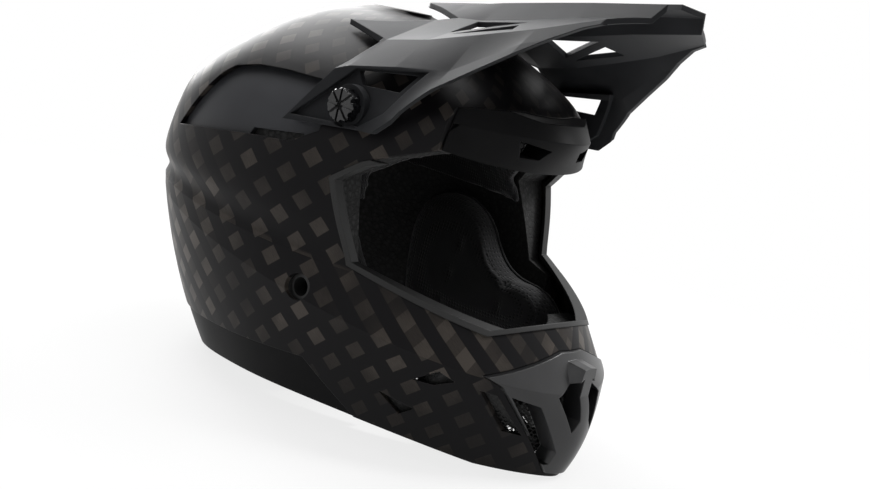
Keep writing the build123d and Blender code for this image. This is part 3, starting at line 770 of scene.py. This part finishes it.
def stage_finish(name, near, far):
    """White where the camera or a reflection sees it, with the shadow kept near the object."""
    material = bpy.data.materials.new(name)
    material.use_nodes = True
    graph = Graph(material.node_tree)
    graph.tree.nodes.clear()
    output = graph.node("ShaderNodeOutputMaterial")
    paint = graph.node("ShaderNodeBsdfDiffuse")
    paint.inputs["Color"].default_value = (0.82, 0.82, 0.82, 1)
    glow = graph.node("ShaderNodeEmission")
    blend = graph.node("ShaderNodeMixShader")
    position = graph.node("ShaderNodeTexCoord").outputs["Object"]
    share = graph.ramp(graph.vector("LENGTH", position), near, far, WHITE_NEAR, 1.0)
    graph.put(blend.inputs[0], graph.times(seen_rays(graph), share))
    graph.put(blend.inputs[1], paint.outputs[0])
    graph.put(blend.inputs[2], glow.outputs[0])
    graph.put(output.inputs["Surface"], blend.outputs[0])
    return material


# The pieces

SIDES = (("left", 1), ("right", -1))


def dress(material, *nodes):
    """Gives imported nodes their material."""
    for node in nodes:
        paint(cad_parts[node], material)


def pairs(*names):
    """The left and right node of each name."""
    return [f"{name}_{side}" for name in names for side, _ in SIDES]


class HELMET_OT_shell(bpy.types.Operator):
    """Matte woven carbon on the outer shell"""
    bl_idname = "helmet.shell"
    bl_label = "Carbon Shell"

    def execute(self, context):
        dress(carbon_finish(), "outer_shell")
        return {"FINISHED"}


# Moulded plastics: colour setting, sheen, roughness, specular level and nodes.
PLASTICS = (
    ("visor", "matte", 0.46, 0.07, ("visor",)),
    ("panel", "satin", 0.40, 0.16, pairs("side_panel")),
    ("guard", "satin", 0.31, 0.45, ("mouth_guard",)),
    ("trim", "matte", 0.44, 0.06, ("base_trim", "brow_insert")),
)


class HELMET_OT_moulded(bpy.types.Operator):
    """Matte or satin plastic on the visor, side panels, guard, brow and base trim"""
    bl_idname = "helmet.moulded"
    bl_label = "Moulded Plastic"

    def execute(self, context):
        sizes, colours = sizes_and_colours()
        for part, sheen, roughness, specular, nodes in PLASTICS:
            base = tuple(getattr(colours, part))
            plastic = moulded_finish(
                f"{part}_{sheen}", base, roughness, specular, sizes.trim_round)
            dress(plastic, *nodes)
        return {"FINISHED"}


class HELMET_OT_liners(bpy.types.Operator):
    """Bead foam on the impact liners, rubber on the beads, grommets and washers"""
    bl_idname = "helmet.liners"
    bl_label = "Foam and Rubber"

    def execute(self, context):
        colours = context.scene.helmet_colours
        dress(foam_finish(), "impact_liner", "chin_bar_liner")
        rubber = moulded_finish("soft_rubber", tuple(colours.rubber), 0.5, 0.3, 0.8 * MM, 0.2)
        dress(rubber, "face_port_trim", *pairs("ear_grommet", "visor_washer"))
        return {"FINISHED"}


class HELMET_OT_hardware(bpy.types.Operator):
    """Gloss black on the knobs and studs, steel on the rings, rivets and nuts"""
    bl_idname = "helmet.hardware"
    bl_label = "Knobs, Studs and Rings"

    def execute(self, context):
        studs = pairs("visor_screw", "cheek_snap_upper", "cheek_snap_lower")
        dress(gloss_finish(), "keeper_snap", *studs)
        steel = pairs("visor_nut", "strap_anchor")
        dress(steel_finish(), "d_ring_outer", "d_ring_inner", *steel)
        return {"FINISHED"}


# Shares of a cheek pad's thickness, from its outer face, at which it is piped and sewn.
PIPING_SHARE, CHEEK_SEAM_SHARE = 0.32, 0.86


class HELMET_OT_cheek_pads(bpy.types.Operator):
    """Swollen cheek pads with piping and a stitched seam"""
    bl_idname = "helmet.cheek_pads"
    bl_label = "Cheek Pads"

    def execute(self, context):
        sizes, colours = sizes_and_colours()
        cloth = cloth_finish("cheek_cloth", tuple(colours.cheek), 2.4 * MM, 0.35)
        edge = cloth_finish("piping_cloth", tuple(colours.lining), 1.2 * MM, 0.2)
        thread = thread_finish()
        for side, sign in SIDES:
            node = f"cheek_pad_{side}"
            pad = pad_from(
                node, f"cheek_cushion_{side}", sizes.pad_voxel, sizes.pad_cap, 1.6 * MM)
            finish_piece(pad, cloth, node, "charcoal_fabric", node)
            low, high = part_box(node)
            inner, outer = (low[0], high[0]) if sign > 0 else (high[0], low[0])
            piping_x = outer + (inner - outer) * PIPING_SHARE
            seam = outlines(pad, (piping_x, 0, 0), (1, 0, 0))[0]
            seam = relaxed(evenly(seam, 3 * MM), 3)
            piping = joined(f"cheek_piping_{side}", [tube(seam, sizes.piping, 8, True)])
            finish_piece(piping, edge, node, "black_fabric")
            seam_x = outer + (inner - outer) * CHEEK_SEAM_SHARE
            rim = outlines(pad, (seam_x, 0, 0), (1, 0, 0))[0]
            threads = stitches(relaxed(evenly(rim, 2 * MM), 4), sizes.stitch, sizes.thread)
            sewn = joined(f"cheek_stitches_{side}", threads)
            finish_piece(sewn, thread, node, "charcoal_fabric")
        return {"FINISHED"}


class HELMET_OT_crown_liner(bpy.types.Operator):
    """The soft liner inside the crown"""
    bl_idname = "helmet.crown_liner"
    bl_label = "Crown Liner"

    def execute(self, context):
        sizes, colours = sizes_and_colours()
        cloth = cloth_finish("liner_cloth", tuple(colours.lining), 2.0 * MM, 0.25)
        pad = pad_from("crown_pad", "crown_liner", sizes.liner_voxel, sizes.liner_cap, 0.9 * MM)
        finish_piece(pad, cloth, "shell", "black_fabric", "crown_pad")
        return {"FINISHED"}


# Shares of the neck roll's height at which it is sewn.
NECK_SEAM_SHARES = (0.28, 0.72)


class HELMET_OT_neck_roll(bpy.types.Operator):
    """The padded roll round the neck, with its stitched seams"""
    bl_idname = "helmet.neck_roll"
    bl_label = "Neck Roll"

    def execute(self, context):
        sizes, colours = sizes_and_colours()
        cloth = cloth_finish("roll_cloth", tuple(colours.lining), 1.8 * MM, 0.25)
        roll = pad_from("neck_roll", "neck_cushion", sizes.pad_voxel, sizes.liner_cap, 1.0 * MM)
        finish_piece(roll, cloth, "shell", "black_fabric", "neck_roll")
        low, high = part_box("neck_roll")
        threads = []
        for share in NECK_SEAM_SHARES:
            level = low[2] + (high[2] - low[2]) * share
            for chain in outlines(roll, (0, 0, level), (0, 0, 1))[:1]:
                row = relaxed(evenly(chain, 2 * MM), 3)
                threads += stitches(row, sizes.stitch, sizes.thread)
        seams = joined("neck_stitches", threads)
        finish_piece(seams, thread_finish(), "shell", "black_fabric")
        return {"FINISHED"}


def strap_path(corners, bend, steps=6):
    """A path through corners in the X-Z plane, with round bends."""
    path = [corners[0]]
    for before, corner, after in zip(corners, corners[1:], corners[2:]):
        into, out = (before - corner).normalized(), (after - corner).normalized()
        angle = into.angle(out)
        run = min(
            bend / math.tan(angle / 2), (before - corner).length / 2, (after - corner).length / 2)
        start, end = corner + into * run, corner + out * run
        for step in range(steps + 1):
            share = step / steps
            path.append(start.lerp(corner, share).lerp(corner.lerp(end, share), share))
    path.append(corners[-1])
    return path


def box_stitch(centre, along, across, half_along, half_across, stitch, thread):
    """A box with a cross in it, sewn through the webbing."""
    corners = [
        centre + along * a * half_along + across * b * half_across
        for a, b in ((-1, -1), (-1, 1), (1, 1), (1, -1))]
    parts = []
    for first, second in ((0, 1), (1, 2), (2, 3), (3, 0), (0, 2), (1, 3)):
        run = [corners[first].lerp(corners[second], share / 12) for share in range(13)]
        parts += stitches(run, stitch, thread, closed=False)
    return parts


# The straps, side on: heights and places of their corners, and their bends.
STRAP_SHELF_Z = 30 * MM
STRAP_LOW_Z = 20 * MM
STRAP_TURN_X = 66 * MM
STRAP_END_X = 34 * MM
STRAP_BEND = 9 * MM
# The loops round the rings' straight bars.
RING_HALF_WIRE = 2 * MM
LOOP_RADIUS = 3.3 * MM
LOOP_STEPS = 20
# The sewn box: how far past the strap's middle it lies, and half of its sides.
BOX_SHIFT = 4 * MM
BOX_HALF_ALONG = 7 * MM
BOX_HALF_ACROSS = 8 * MM


class HELMET_OT_chin_straps(bpy.types.Operator):
    """Woven chin straps: one sewn round the two rings, one with the keeper stud"""
    bl_idname = "helmet.chin_straps"
    bl_label = "Chin Straps"

    def execute(self, context):
        sizes, colours = sizes_and_colours()
        webbing = woven_finish("strap_webbing", tuple(colours.webbing), 1.7 * MM)
        thread = thread_finish()
        section = tape_section(sizes.strap_width, sizes.strap_thickness)
        across = Vector((0, 1, 0))
        for side, sign in SIDES:
            node = f"chin_strap_{side}"
            low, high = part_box(node)
            strap_y = (low[1] + high[1]) / 2
            outer = (high[0] if sign > 0 else -low[0]) - sizes.strap_thickness / 2
            corners = [
                Vector((sign * x, strap_y, z)) for x, z in (
                    (outer, high[2]), (outer, STRAP_SHELF_Z), (STRAP_TURN_X, STRAP_LOW_Z),
                    (STRAP_END_X, STRAP_LOW_Z))]
            parts = [swept(strap_path(corners, STRAP_BEND), section, across * sign)]
            if sign > 0:
                for ring in ("d_ring_outer", "d_ring_inner"):
                    ring_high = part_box(ring)[1]
                    bar = Vector((ring_high[0] - RING_HALF_WIRE, strap_y, STRAP_LOW_Z))
                    loop = []
                    for step in range(LOOP_STEPS):
                        turn = 2 * math.pi * step / LOOP_STEPS
                        spoke = Vector((math.cos(turn), 0, math.sin(turn)))
                        loop.append(bar + spoke * LOOP_RADIUS)
                    parts.append(swept(loop, section, across, True))
            strap = joined(f"webbing_{side}", parts)
            finish_piece(strap, webbing, node, "black_webbing", node)
            middle = (corners[2] + corners[3]) / 2
            along = (corners[3] - corners[2]).normalized()
            sewn = []
            for face in (-1, 1):
                lift = Vector((0, 0, face * sizes.strap_thickness / 2))
                centre = middle + lift + along * BOX_SHIFT * sign
                sewn += box_stitch(
                    centre, along, across, BOX_HALF_ALONG, BOX_HALF_ACROSS,
                    sizes.stitch, sizes.thread)
            finish_piece(joined(f"strap_stitches_{side}", sewn), thread, node, "black_webbing")
        return {"FINISHED"}


# A pull tab: half its length, half the gap between its leaves, its tape's thickness,
# its lean and the steps of its fold.
TAB_HALF = 9.4 * MM
TAB_LEAF = 0.42 * MM
TAB_TAPE = 0.7 * MM
TAB_LEAN = -25
TAB_STEPS = 8


class HELMET_OT_pull_tabs(bpy.types.Operator):
    """Folded tape tabs that pull the cheek pads out"""
    bl_idname = "helmet.pull_tabs"
    bl_label = "Pull Tabs"

    def execute(self, context):
        sizes, colours = sizes_and_colours()
        tape = woven_finish("tab_tape", tuple(colours.tape), 1.1 * MM)
        lean = Matrix.Rotation(math.radians(TAB_LEAN), 4, "X")
        for side, _ in SIDES:
            node = f"pull_tab_{side}"
            low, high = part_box(node)
            middle = Vector([(a + b) / 2 for a, b in zip(low, high)])
            path = [Vector((-TAB_LEAF, 0, TAB_HALF))]
            for step in range(TAB_STEPS + 1):
                turn = math.pi * step / TAB_STEPS
                path.append(Vector((
                    -TAB_LEAF * 1.5 * math.cos(turn), 0,
                    -TAB_HALF + TAB_LEAF - TAB_LEAF * 2 * math.sin(turn))))
            path.append(Vector((TAB_LEAF, 0, TAB_HALF)))
            section = tape_section(sizes.tab_width, TAB_TAPE, 4)
            points, faces = swept(path, section, Vector((0, 1, 0)))
            tab = joined(f"tape_tab_{side}", [([middle + lean @ point for point in points], faces)])
            finish_piece(tab, tape, f"cheek_pad_{side}", "red_tape", node)
        return {"FINISHED"}


def net_on(name, node, facing, pitch, wire):
    """A net of six-sided cells laid on the outer face of a thin skin, seen along facing."""
    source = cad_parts[node].data
    tree = BVHTree.FromPolygons(
        [vertex.co.copy() for vertex in source.vertices],
        [polygon.vertices[:] for polygon in source.polygons])
    facing = facing.normalized()
    first = facing.cross(Vector((0, 0, 1))).normalized()
    second = first.cross(facing).normalized()
    low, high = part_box(node)
    middle = Vector([(a + b) / 2 for a, b in zip(low, high)])
    reach = (Vector(high) - Vector(low)).length / 2
    corner = pitch / math.sqrt(3)
    spots = {}

    def spot(across, up):
        key = (round(across / corner * 4), round(up / corner * 4))
        if key not in spots:
            start = middle + first * across + second * up - facing * reach * 2
            place, normal = tree.ray_cast(start, facing)[:2]
            spots[key] = place - normal * wire / 4 if place else None
        return key

    edges = set()
    rows = int(reach / (corner * 1.5)) + 1
    columns = int(reach / pitch) + 1
    for row in range(-rows, rows + 1):
        for column in range(-columns, columns + 1):
            centre_across = column * pitch + (row % 2) * pitch / 2
            centre_up = row * corner * 1.5
            corners = []
            for turn in range(6):
                angle = math.pi / 6 + turn * math.pi / 3
                corners.append(spot(
                    centre_across + corner * math.cos(angle), centre_up + corner * math.sin(angle)))
            for start, end in zip(corners, corners[1:] + corners[:1]):
                if start != end:
                    edges.add((min(start, end), max(start, end)))
    parts = []
    for start, end in sorted(edges):
        first_end, last_end = spots[start], spots[end]
        if first_end and last_end and (last_end - first_end).length < 3 * corner:
            parts.append(tube([first_end, last_end], wire, 5))
    return joined(name, parts)


# Nets: name, the skin that each lies on, and the way in which it is seen.
NETS = (
    ("guard_net", "mouth_filter", (0, 1, 0)),
    ("brow_net", "brow_mesh", (0, 1, 0)),
    ("chin_net_left", "chin_mesh_left", (-0.8, 0.6, 0.3)),
    ("chin_net_right", "chin_mesh_right", (0.8, 0.6, 0.3)),
)


class HELMET_OT_nets(bpy.types.Operator):
    """Wire nets behind the guard, the brow and the chin vents"""
    bl_idname = "helmet.nets"
    bl_label = "Vent Nets"

    def execute(self, context):
        sizes, colours = sizes_and_colours()
        material = moulded_finish("net_wire", tuple(colours.net), 0.5, 0.3, 0.2 * MM, 0.2)
        for name, node, facing in NETS:
            net = net_on(name, node, Vector(facing), sizes.net_pitch, sizes.net_wire)
            finish_piece(net, material, "shell", "black_mesh", node)
        return {"FINISHED"}


# Corners of the open vents on the +X side of the chin, in mm, with how far behind
# them their foam lies and how much larger it is.
VENT_BACKS = (
    ("lower", ((84, -74.8, 31.7), (74, -85.4, 20.0), (72, -94.1, 26.4)), 6.0, 1.7),
    ("front", (
        (64, -129.8, 49.6), (56, -140.6, 48.8), (38, -144.7, 25.7), (48, -132.7, 29.4),
    ), 8.5, 1.2),
)
# The foam's section: steps through its thickness, in mm, and its size at each.
BACK_SECTION = ((-1.5, 0.85), (-1.5, 0.95), (0, 1.0), (1.5, 0.95), (1.5, 0.85))


class HELMET_OT_vent_backs(bpy.types.Operator):
    """Foam pads on the inner wall behind the open chin vents"""
    bl_idname = "helmet.vent_backs"
    bl_label = "Vent Backs"

    def execute(self, context):
        foam = bpy.data.materials.get("bead_foam") or foam_finish()
        for name, outline, depth, grow in VENT_BACKS:
            outline = [Vector(place) * MM for place in outline]
            count = len(outline)
            middle = sum(outline, Vector()) / count
            inwards = (outline[1] - outline[0]).cross(outline[2] - outline[0]).normalized()
            inwards *= -1 if inwards.x > 0 else 1
            for side, sign in SIDES:
                points = []
                for step, share in BACK_SECTION:
                    centre = middle + inwards * (depth + step) * MM
                    for corner in outline:
                        place = centre + (corner - middle) * grow * share
                        points.append(Vector((sign * place.x, place.y, place.z)))
                faces = ring_faces(len(points) // count, count, False)
                if sign < 0:
                    faces = [list(face)[::-1] for face in faces]
                piece = joined(f"{name}_vent_back_{side}", [(points, faces)], smooth=False)
                finish_piece(piece, foam, "shell", "black_foam")
        return {"FINISHED"}


# The photograph's camera: its place, and the ways in which its picture's right and
# top point.
CAMERA_PLACE = (-0.676678, -0.528156, 0.275921)
CAMERA_RIGHT = (0.61566, -0.75277, 0.23302)
CAMERA_UP = (0.01595, 0.30755, 0.95140)
# Lamps: name, place, target and size.
LAMPS = (
    ("top", (0.1, 0.15, 1.45), (0, 0, 0.2), 1.2),
    ("rear", (0.5, 1.15, 0.6), (0, 0, 0.16), 0.9),
    ("high", (0.08, 0.85, 1.15), (0, 0, 0.1), 0.5),
    ("front", (0.80, -0.50, 1.15), (0, -0.13, 0.05), 0.4),
    ("side", (-1.5, -0.2, 0.9), (0, 0, 0.12), 0.7),
)
# The floor turns from its near white to full white between these distances.
FLOOR_NEAR, FLOOR_FAR = 0.25, 0.65


class HELMET_OT_stage(bpy.types.Operator):
    """The camera, soft lamps, a plain world and a white floor"""
    bl_idname = "helmet.stage"
    bl_label = "Stage"

    def execute(self, context):
        settings = context.scene.helmet_stage
        scene = context.scene
        scene.view_settings.view_transform = "Standard"
        camera = bpy.data.objects.new("camera", bpy.data.cameras.new("camera"))
        camera.data.lens = settings.lens
        camera.data.clip_start = 0.01
        right, up = Vector(CAMERA_RIGHT), Vector(CAMERA_UP)
        turned = Matrix((right, up, right.cross(up))).transposed().to_4x4()
        camera.matrix_world = Matrix.Translation(CAMERA_PLACE) @ turned
        scene.collection.objects.link(camera)
        scene.camera = camera
        for name, place, target, size in LAMPS:
            add_lamp(f"{name}_lamp", place, target, size, getattr(settings, f"{name}_power"))
        world = bpy.data.worlds.new("plain")
        scene.world = world
        world.use_nodes = True
        graph = Graph(world.node_tree)
        graph.tree.nodes.clear()
        sky = graph.node("ShaderNodeBackground")
        strength = graph.ramp(seen_rays(graph), 0.0, 1.0, settings.world_level, 1.0)
        graph.put(sky.inputs["Strength"], strength)
        sky.inputs["Color"].default_value = (1, 1, 1, 1)
        output = graph.node("ShaderNodeOutputWorld")
        graph.put(output.inputs["Surface"], sky.outputs[0])
        half = settings.floor_half
        corners = [(-half, -half, 0), (half, -half, 0), (half, half, 0), (-half, half, 0)]
        floor = add_mesh("floor", corners, [[0, 1, 2, 3]])
        floor.data.materials.append(stage_finish("floor_white", FLOOR_NEAR, FLOOR_FAR))
        return {"FINISHED"}


def add_lamp(name, place, target, size, power):
    """A soft square lamp that looks at a target."""
    lamp = bpy.data.lights.new(name, "AREA")
    lamp.shape = "SQUARE"
    lamp.size = size
    lamp.energy = power
    holder = bpy.data.objects.new(name, lamp)
    holder.location = place
    aim = Vector(target) - Vector(place)
    holder.rotation_euler = aim.to_track_quat("-Z", "Y").to_euler()
    bpy.context.scene.collection.objects.link(holder)


OPERATORS = (
    HELMET_OT_shell, HELMET_OT_moulded, HELMET_OT_liners, HELMET_OT_hardware, HELMET_OT_cheek_pads,
    HELMET_OT_crown_liner, HELMET_OT_neck_roll, HELMET_OT_chin_straps, HELMET_OT_pull_tabs,
    HELMET_OT_nets, HELMET_OT_vent_backs, HELMET_OT_stage,
)
SETTINGS = (
    ("helmet_sizes", HelmetSizes), ("helmet_colours", HelmetColours), ("helmet_stage", HelmetStage),
)


class HELMET_PT_pieces(bpy.types.Panel):
    """Lists the helmet's pieces in the 3D view's sidebar"""
    bl_idname = "HELMET_PT_pieces"
    bl_label = "Full-Face Helmet"
    bl_space_type = "VIEW_3D"
    bl_region_type = "UI"
    bl_category = "Helmet"

    def draw(self, context):
        for operator in OPERATORS:
            self.layout.operator(operator.bl_idname)
        for name, group in SETTINGS:
            box = self.layout.box()
            for key in group.__annotations__:
                box.prop(getattr(context.scene, name), key)


def register():
    for name, group in SETTINGS:
        bpy.utils.register_class(group)
        setattr(bpy.types.Scene, name, PointerProperty(type=group))
    for operator in OPERATORS:
        bpy.utils.register_class(operator)
    bpy.utils.register_class(HELMET_PT_pieces)


def unregister():
    bpy.utils.unregister_class(HELMET_PT_pieces)
    for operator in reversed(OPERATORS):
        bpy.utils.unregister_class(operator)
    for name, group in reversed(SETTINGS):
        delattr(bpy.types.Scene, name)
        bpy.utils.unregister_class(group)


def main():
    register()
    for operator in OPERATORS:
        family, name = operator.bl_idname.split(".")
        getattr(getattr(bpy.ops, family), name)()


if __name__ == "__main__":
    main()
